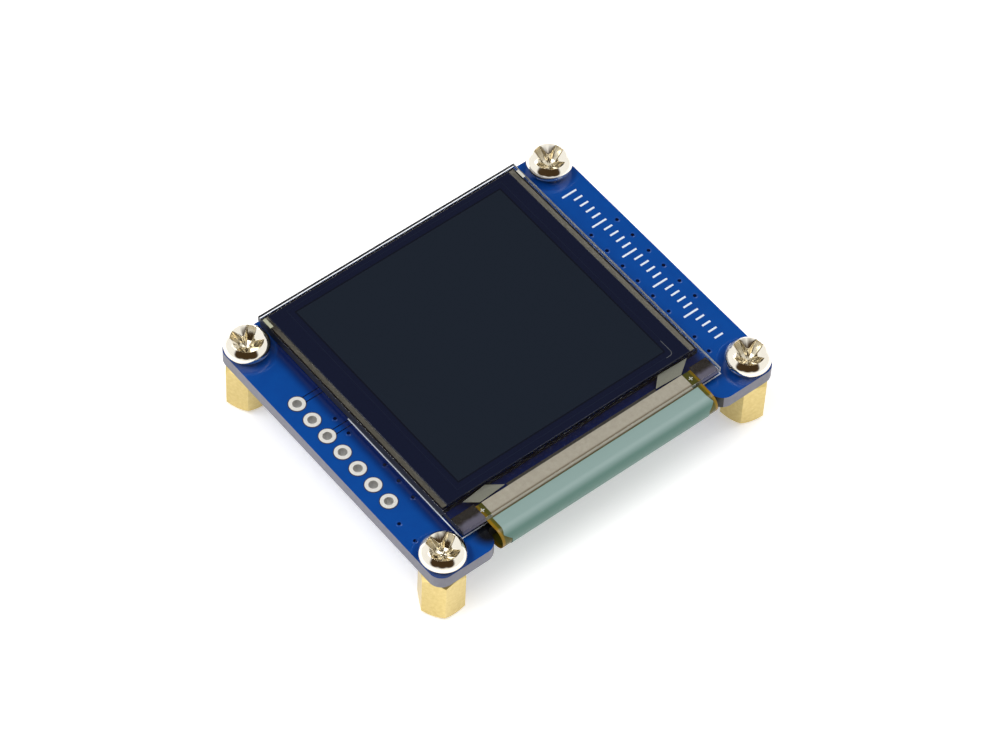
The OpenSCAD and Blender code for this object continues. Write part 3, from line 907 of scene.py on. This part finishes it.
@dataclass
class Fixings:
    """Four pan head screws over four hexagonal standoffs.

    Attributes:
        core_r: Radius at the foot of the free thread's ridge.
        ridge: How far the ridge stands inwards.
        pitch: Pitch of the thread.
        ridge_half: Half the width of the ridge's foot, as a share of the pitch.
        thread_z: Heights where the free thread starts and ends.
        thread_steps: Steps to a turn of the thread.
        shank_r: Radius of a screw's shank.
        tip: Size of the bevel at the shank's tip.
        seat_r: Radius of the head's seat.
        shoulder: Radius and height of the circles from the head's rim to the mouth of its recess.
        dish: Slope of the four lobes towards the middle of the recess.
        wing_top: Reach and half width of a recess wing at the lobes.
        wing_floor: The same at its floor.
        middle: Radius of the recess's middle at the lobes and at its floor.
        mouth_gap: Least distance of the cross from the last circle of the shoulder.
        lip: Growth outwards and drop of each loop over the rolled lip of the cross.
        floor: Growth outwards and height of each loop at the recess's floor.
        sink: How much deeper the point in its middle is.
        turns: Turn of each recess in degrees.
    """

    core_r: float = 1.035
    ridge: float = 0.07
    pitch: float = 0.45
    ridge_half: float = 0.3
    thread_z: Pair = (0.35, 2.2)
    thread_steps: int = 24
    shank_r: float = 1.0
    tip: float = 0.3
    seat_r: float = 2.0
    shoulder: tuple[Pair, ...] = (
        (2.42, 0.7), (2.475, 0.82), (2.462, 1.0), (2.41, 1.2), (2.295, 1.4), (2.13, 1.585), (1.96, 1.76), (1.8, 1.91)
    )
    dish: float = 0.68
    wing_top: Pair = (1.74, 0.5)
    wing_floor: Pair = (0.78, 0.26)
    middle: Pair = (0.88, 0.42)
    mouth_gap: float = 0.02
    lip: tuple[Pair, ...] = ((0.09, 0.0), (0.03, 0.015), (0.0, 0.05), (-0.02, 0.13))
    floor: tuple[Pair, ...] = ((0.02, 0.68), (-0.06, 0.62))
    sink: float = 0.25
    turns: dict[Corner, float] = field(
        default_factory=lambda: {
            Corner.FRONT_LEFT: 24.0, Corner.FRONT_RIGHT: 8.0, Corner.BACK_LEFT: 35.0, Corner.BACK_RIGHT: 12.0
        }
    )

    def standoff(self, corner: Corner) -> None:
        """One standoff with eased edges."""
        node = "standoff_" + corner.value
        publish(cad_copy(node), "hex_" + node, (BRASS,), stands_for=[node], sharp=25, ease=0.2)

    def thread(self, corner: Corner) -> None:
        """The free thread at the foot: a ridge wound up the bore."""
        start, end = self.thread_z
        turns = (end - start) / self.pitch
        steps = int(turns * self.thread_steps)
        half = self.pitch * self.ridge_half
        section = ((self.core_r, -half), (self.core_r - self.ridge, 0), (self.core_r, half))
        bm = bmesh.new()
        add_spun(bm, fixing(corner, start), section, steps, angle=math.tau * turns, rise=self.pitch * turns / steps)
        publish(bm, "thread_" + corner.value, (BRASS,), sharp=80)

    @staticmethod
    def cross(angle: float, wing: Pair, middle: float) -> float:
        """Radius of a cross with a round middle.

        Args:
            angle: Direction in radians.
            wing: Reach and half width of its wings.
            middle: Radius of the middle.

        Returns:
            The radius in millimetres.
        """
        c, s = (max(abs(part), TINY) for part in (math.cos(angle), math.sin(angle)))
        return max(middle, min(wing[0] / c, wing[1] / s), min(wing[1] / c, wing[0] / s))

    def head_levels(self, turn: float, tip: float) -> list[Level]:
        """Loops of a screw from the tip of its shank over the head down into the recess.

        Args:
            turn: Turn of the recess in radians.
            tip: Height of the shank's tip under the seat.

        Returns:
            The loops, for loft.
        """
        edge_r, edge_z = self.shoulder[-1]

        def circle(radius: float, height: float) -> Level:
            """A round loop."""
            return lambda _: (radius, height)

        def over_lip(grow: float, drop: float) -> Level:
            """Loop along the border of the cross, grown outwards and dropped below the lobes."""

            def level(angle: float) -> Pair:
                """Radius and height at one angle."""
                r = min(self.cross(angle - turn, self.wing_top, self.middle[0]) + grow, edge_r - self.mouth_gap)
                return r, edge_z - (edge_r - r) * self.dish - drop

            return level

        def at_floor(grow: float, height: float) -> Level:
            """Loop round the recess's floor."""
            return lambda angle: (self.cross(angle - turn, self.wing_floor, self.middle[1]) + grow, height)

        shank_r, bevel = self.shank_r, self.tip
        shank = ((shank_r - bevel, tip), (shank_r, tip + bevel), (shank_r, 0.0), (self.seat_r, 0.0))
        return [
            *(circle(*point) for point in (*shank, *self.shoulder)),
            *(over_lip(*loop) for loop in self.lip),
            *(at_floor(*loop) for loop in self.floor),
        ]

    def screw(self, corner: Corner) -> None:
        """One screw with its cross recess, every edge rolled over as in cold-formed steel."""
        node = "screw_" + corner.value
        x, y, seat = fixing(corner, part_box("circuit_board")[1].z / MM)
        turn = math.radians(self.turns[corner])
        bm = bmesh.new()
        loft(bm, self.head_levels(turn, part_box(node)[0].z / MM - seat), LARGE_ROUND)
        lowest = min((v for v in bm.verts if v.co.z > 0), key=lambda v: v.co.xy.length)
        lowest.co.z -= self.sink * MM

        def surface(face: Face) -> int:
            """One inside the cross, where the recess's painted shade goes, nought on the head."""
            at = face.calc_center_median()
            inside = self.cross(math.atan2(at.y, at.x) - turn, self.wing_top, self.middle[0]) * MM
            return int(at.z > 0 and at.xy.length < inside)

        paint(bm, surface)
        bmesh.ops.translate(bm, verts=bm.verts, vec=Vector((x, y, seat)) * MM)
        publish(bm, "pan_head_" + node, (NICKEL, RECESS_SHADED), stands_for=[node], sharp=42)

    def build(self) -> None:
        """Makes the fixings at all four corners."""
        for corner in Corner:
            self.standoff(corner)
            self.thread(corner)
            self.screw(corner)


@dataclass
class DisplayPanel:
    """The two glasses, what lies between them and the film on top.

    Attributes:
        patches: Outlines of the grey marks at both ends of the ledge.
        crosses: Places of the bright alignment crosses.
        cross_size: Half the length and half the width of a cross's arms.
        mark: Thickness of the evaporated marks.
        sunk: How far patches, crosses and the sheets of painted shade reach into the glass.
        corner_shade_x: Both ends of each stretch of painted shade under the ledge's corners.
        corner_shade_y: Front and back of that painted shade.
        strip_x: Both ends of the painted shade behind the contact strip.
        strip_y: Its front and back.
        arc_centre: Centre of the bright corner of the frame line.
        arc_r: Its radius.
        arc_ends: Lengths of the straight lines that run on from it along Y and X.
        arc_line: Half the width of the corner and of those lines, and their thickness.
        arc_steps: Steps round the corner.
        tabs: Left, right, front and back of the films at the back corners.
        tab: Thickness of those films.
    """

    patches: tuple[tuple[Pair, ...], ...] = (
        ((-14.81, -12.81), (-13.41, -13.88), (-10.05, -13.67), (-11.68, -12.49)),
        ((11.0, -12.49), (9.69, -13.73), (12.96, -13.9), (14.78, -12.62)),
    )
    crosses: tuple[Pair, ...] = ((-13.82, -14.79), (13.41, -14.88))
    cross_size: Pair = (0.24, 0.05)
    mark: float = 0.012
    sunk: tuple[float, float, float] = (0.002, 0.004, 0.003)
    corner_shade_x: tuple[Pair, ...] = ((-17.0, -14.12), (14.12, 16.4))
    corner_shade_y: Pair = (-15.85, -13.7)
    strip_x: Pair = (-9.9, 9.6)
    strip_y: Pair = (-13.97, -13.66)
    arc_centre: Pair = (13.24, -11.2)
    arc_r: float = 0.48
    arc_ends: Pair = (1.6, 0.45)
    arc_line: tuple[float, float, float] = (0.035, 0.03, 0.004)
    arc_steps: int = 12
    tabs: tuple[tuple[float, float, float, float], ...] = (
        (-17.14, -16.74, 16.05, 17.38),
        (16.12, 16.46, 15.93, 17.07),
    )
    tab: float = 0.03

    def glasses(self) -> None:
        """Front and cap glass: polished, with ground edges but for the front one."""

        def surface(face: Face) -> int:
            """One at the left, two at the right, three at the back and nought on the rest."""
            if face.normal.x < -FACING:
                return 1
            return 2 if face.normal.x > FACING else 3 if face.normal.y > FACING else 0

        for node, right, back in (
            ("substrate_glass", GROUND_RIGHT, GROUND_BACK),
            ("cap_glass", GROUND_CAP, GROUND_CAP),
        ):
            bm = cad_copy(node)
            paint(bm, surface)
            finishes = (GLASS, GROUND_LEFT, right, back)
            publish(bm, node + "_ground", finishes, stands_for=[node], ease=0.025)

    def layers(self) -> None:
        """Polariser, seal, tape and the layers sealed inside."""
        film = thinned(cad_copy("polariser"))
        publish(film, "polariser_film", (POLARISER,), stands_for=["polariser"], ease=0.03)
        for node, finish, slot, gap in (
            ("edge_seal", SEAL, "seal_resin", BONDED),
            ("adhesive_tape", TAPE, "tape", LOOSE),
            ("desiccant_sheet", DESICCANT, "desiccant", LOOSE),
            ("light_emitting_layer", DISPLAY_LAYERS, "display_black", LOOSE),
        ):
            publish(thinned(cad_copy(node), gap), node + "_sheet", (finish,), stands_for=[node])

    def ledge_marks(self) -> None:
        """Evaporated marks, and sheets of painted shade, on the underside of the contact ledge."""
        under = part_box("substrate_glass")[0].z / MM
        low = under - self.mark
        # resin is the top of the two sheets of painted shade.
        patch, cross, resin = (under + depth for depth in self.sunk)
        bm = bmesh.new()
        for outline in self.patches:
            face = bm.faces.new([bm.verts.new(Vector((x, y, low)) * MM) for x, y in outline])
            up = verts_in(bmesh.ops.extrude_face_region(bm, geom=[face])["geom"])
            bmesh.ops.translate(bm, verts=up, vec=(0, 0, (patch - low) * MM))
        bmesh.ops.recalc_face_normals(bm, faces=bm.faces)
        publish(bm, "ledge_patches", (METAL_MARK,))
        bm = bmesh.new()
        for x, y in self.crosses:
            for a, b in (self.cross_size, self.cross_size[::-1]):
                add_box(bm, (x - a, y - b, low), (x + a, y + b, cross))
        publish(bm, "ledge_crosses", (BRIGHT_MARK,))
        for name, finish, spans, (front, back) in (
            ("ledge_corner_shade", LEDGE_CORNER_SHADE, self.corner_shade_x, self.corner_shade_y),
            ("strip_gap_painted_shade", STRIP_GAP_SHADE, (self.strip_x,), self.strip_y),
        ):
            bm = bmesh.new()
            for left, right in spans:
                add_box(bm, (left, front, low), (right, back, resin))
            publish(bm, name, (finish,))

    def frame_arc(self) -> None:
        """The bright corner of the frame line, just above the film."""
        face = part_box("polariser")[1].z / MM
        x, y = self.arc_centre
        r, (wide, w, thick) = self.arc_r, self.arc_line
        section = ((r - wide, 0.0), (r + wide, 0.0), (r + wide, thick), (r - wide, thick))
        bm = bmesh.new()
        add_spun(bm, (x, y, face), section, self.arc_steps, angle=-math.tau / 4)
        add_box(bm, (x + r - w, y, face), (x + r + w, y + self.arc_ends[0], face + thick))
        add_box(bm, (x - self.arc_ends[1], y - r - w, face), (x, y - r + w, face + thick))
        publish(bm, "frame_line_corner", (FRAME_GLINT,))

    def corner_films(self) -> None:
        """Two scraps of film on the glass, one at each back corner."""
        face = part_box("substrate_glass")[1].z / MM
        for name, finish, (x0, x1, y0, y1) in zip(("left", "right"), (CORNER_FILM, BRIGHT_MARK), self.tabs):
            bm = bmesh.new()
            add_box(bm, (x0, y0, face), (x1, y1, face + self.tab))
            publish(bm, "corner_film_" + name, (finish,))

    def build(self) -> None:
        """Makes every piece of the panel."""
        self.glasses()
        self.layers()
        self.ledge_marks()
        self.frame_arc()
        self.corner_films()


@dataclass
class FlexCable:
    """The folded film with its cover, contacts, chip and solder joints.

    Attributes:
        parts: Node, finish, slot and width of the eased edges of each part but the contacts.
    """

    parts: tuple[tuple[str, Finish, str, float], ...] = (
        ("flex_film", POLYIMIDE, "amber_film", 0.02),
        ("flex_coverlay", COVER, "green_cover_film", 0.01),
        ("driver_chip", MOULDED, "chip_black", 0.04),
        ("flex_solder_joints", SOLDER, "solder", 0.02),
    )

    def build(self) -> None:
        """Makes every piece of the flex."""
        strip = thinned(cad_copy("contact_strip"), BONDED)
        publish(strip, "contact_fingers", (FOIL,), stands_for=["contact_strip"])
        for node, finish, slot, ease in self.parts:
            publish(cad_copy(node), node + "_part", (finish,), stands_for=[node], ease=ease)


@dataclass
class SupplyParts:
    """The small parts soldered under the board.

    Attributes:
        packages: Each moulded part with the axis that its leads point along.
        lead_reach: Length of the leads.
        end_cap: Length of the soldered caps of the chip parts.
        slack: Room for rounding at the border of a lead or a cap.
    """

    packages: tuple[tuple[str, int], ...] = (("boost_converter", 1), ("voltage_regulator", 1), ("schottky_diode", 0))
    lead_reach: float = 0.6
    end_cap: float = 0.35
    slack: Pair = (0.001, 0.01)

    def package(self, node: str, axis: int) -> None:
        """A moulded body with tinned leads at both sides."""
        low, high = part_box(node)
        reach = (self.lead_reach - self.slack[0]) * MM
        start, end = low[axis] + reach, high[axis] - reach
        bm = cad_copy(node)
        paint(bm, lambda face: int(not start <= face.calc_center_median()[axis] <= end))
        publish(bm, node + "_package", (MOULDED, TIN), stands_for=[node], ease=0.02)

    def chips(self, node: str, body: Finish) -> None:
        """Chip parts with tinned caps on their two ends.

        Args:
            node: Name of the solids, each an island of the mesh.
            body: Finish between the caps.
        """
        bm = cad_copy(node)
        cap = (self.end_cap - self.slack[1]) * MM
        left = set(bm.faces)
        while left:
            island: set[Face] = set()
            todo = {left.pop()}
            while todo:
                face = todo.pop()
                island.add(face)
                todo |= {f for e in face.edges for f in e.link_faces} - island
            left -= island
            points = [v.co for f in island for v in f.verts]
            low = Vector(min(p[i] for p in points) for i in range(3))
            high = Vector(max(p[i] for p in points) for i in range(3))
            axis = 0 if high.x - low.x > high.y - low.y else 1
            for face in island:
                at = face.calc_center_median()[axis]
                face.material_index = int(min(at - low[axis], high[axis] - at) < cap)
        publish(bm, node + "_chips", (body, SOLDER), stands_for=[node], ease=0.03)

    def build(self) -> None:
        """Makes the parts under the board."""
        for node, axis in self.packages:
            self.package(node, axis)
        self.chips("ceramic_capacitors", CERAMIC)
        self.chips("resistors", MOULDED)
        coil = cad_copy("power_inductor")
        publish(coil, "inductor_coil", (FERRITE,), stands_for=["power_inductor"], ease=0.06)


# ---------------------------------------------------------------- studio


def towards(azimuth: float, elevation: float) -> Vector:
    """Direction at an azimuth, 0 in front of the module and 90 at its right, and an elevation, in degrees."""
    a, e = math.radians(azimuth), math.radians(elevation)
    return Vector((math.sin(a) * math.cos(e), -math.cos(a) * math.cos(e), math.sin(e)))


@dataclass(frozen=True)
class Softbox:
    """A square area light aimed at the module.

    Attributes:
        name: Light name.
        azimuth: Azimuth in degrees.
        elevation: Angle above the floor in degrees.
        distance: Distance in millimetres.
        side: Side of the light in millimetres.
        power: Power in watts.
    """

    name: str
    azimuth: float
    elevation: float
    distance: float
    side: float
    power: float

    def build(self) -> None:
        """Adds the light."""
        away = towards(self.azimuth, self.elevation)
        data = bpy.data.lights.new(self.name, "AREA")
        data.size = self.side * MM
        data.energy = self.power
        lamp = show(self.name, data)
        lamp.location = away * self.distance * MM
        lamp.rotation_euler = away.to_track_quat("Z", "Y").to_euler()


@dataclass
class Studio:
    """Camera, floor and light.

    Attributes:
        azimuth: Camera azimuth in degrees.
        elevation: Camera elevation in degrees.
        roll: Camera roll in degrees.
        distance: Distance from the camera to the middle of the board's face.
        aim: Shift of the view sideways and upwards.
        focal: Focal length as a multiple of the picture's width.
        sensor: Width of the camera's sensor.
        clip: Nearest and farthest distance that the camera sees, in metres.
        board_top: Height of the board's face, the camera's own origin.
        floor_side: Side of the paper.
        tent: Brightness of the tent's cloth.
        dark: Colour of what shows through its openings.
        openings: Azimuth, elevation, half width and soft rim in degrees, and brightness, of its dark openings.
        lights: The lamps.
    """

    azimuth: float = -41.223
    elevation: float = 53.230
    roll: float = 3.157
    distance: float = 454.355
    aim: Pair = (0.252, -1.936)
    focal: float = 4.412761
    sensor: float = 36.0
    clip: Pair = (0.01, 20.0)
    board_top: float = 7.6
    floor_side: float = 4000.0
    tent: float = 1.05
    dark: str = "#43331f"
    openings: tuple[tuple[float, float, float, float, float], ...] = (
        (138.8, 53, 24, 14, 0.03),
        (-41.2, 35, 16, 11, 0.0),
        (-76, 32, 15, 10, 0.0),
        (-6, 32, 15, 10, 0.0),
    )
    lights: tuple[Softbox, ...] = (
        Softbox("key_left", -115, 58, 700, 400, 1.8),
        Softbox("fill_right", 85, 62, 900, 400, 1.9),
    )

    def camera(self) -> None:
        """The camera at the photograph's place."""
        back = towards(self.azimuth, self.elevation)
        right = back.cross(Vector((0, 0, -1))).normalized()
        up = back.cross(right)
        r = math.radians(self.roll)
        across = right * math.cos(r) + up * math.sin(r)
        over = up * math.cos(r) - right * math.sin(r)
        data = bpy.data.cameras.new("camera")
        data.sensor_width = self.sensor
        data.lens = self.focal * self.sensor
        data.clip_start, data.clip_end = self.clip
        camera = show("camera", data)
        turn = Matrix((across, over, back)).transposed().to_4x4()
        aim = across * self.aim[0] + over * self.aim[1] + Vector((0, 0, self.board_top))
        camera.matrix_world = Matrix.Translation((back * self.distance + aim) * MM) @ turn
        bpy.context.scene.camera = camera

    def floor(self) -> None:
        """A flat sheet of white paper under the standoffs."""
        bm = bmesh.new()
        bmesh.ops.create_grid(bm, x_segments=1, y_segments=1, size=self.floor_side / 2 * MM)
        paper = show_mesh(bm, "paper", (PAPER,))

    def surroundings(self) -> None:
        """A white tent with dark openings: one high up on the far side, and three round the camera's side."""
        world = bpy.data.worlds.new("studio_tent")
        bpy.context.scene.world = world
        world.use_nodes = True
        tree = world.node_tree
        where = add_node(tree, "TexCoord").outputs["Generated"]
        light = 1.0
        for azimuth, elevation, wide, soft, dark in self.openings:
            near = compute_vector(tree, "DOT_PRODUCT", where, towards(azimuth, elevation))
            rim, edge = (math.cos(math.radians(angle)) for angle in (wide + soft, wide))
            light = compute(tree, "MULTIPLY", light, soft_step(tree, near, rim, edge, (1.0, dark)))
        back = tree.nodes["Background"]
        tree.links.new(mixed(tree, light, self.dark, WHITE), back.inputs[0])
        back.inputs[1].default_value = self.tent

    def build(self) -> None:
        """Sets up the shot."""
        self.camera()
        self.floor()
        self.surroundings()
        for light in self.lights:
            light.build()
        bpy.context.scene.view_settings.view_transform = "Standard"


def main() -> None:
    """Builds the module and its studio."""
    logging.basicConfig(level=logging.INFO, format="%(name)s %(message)s")
    for assembly in (CircuitBoard(), Fixings(), DisplayPanel(), FlexCable(), SupplyParts(), Studio()):
        assembly.build()
        LOG.info("%s done", type(assembly).__name__)


if __name__ == "__main__":
    main()
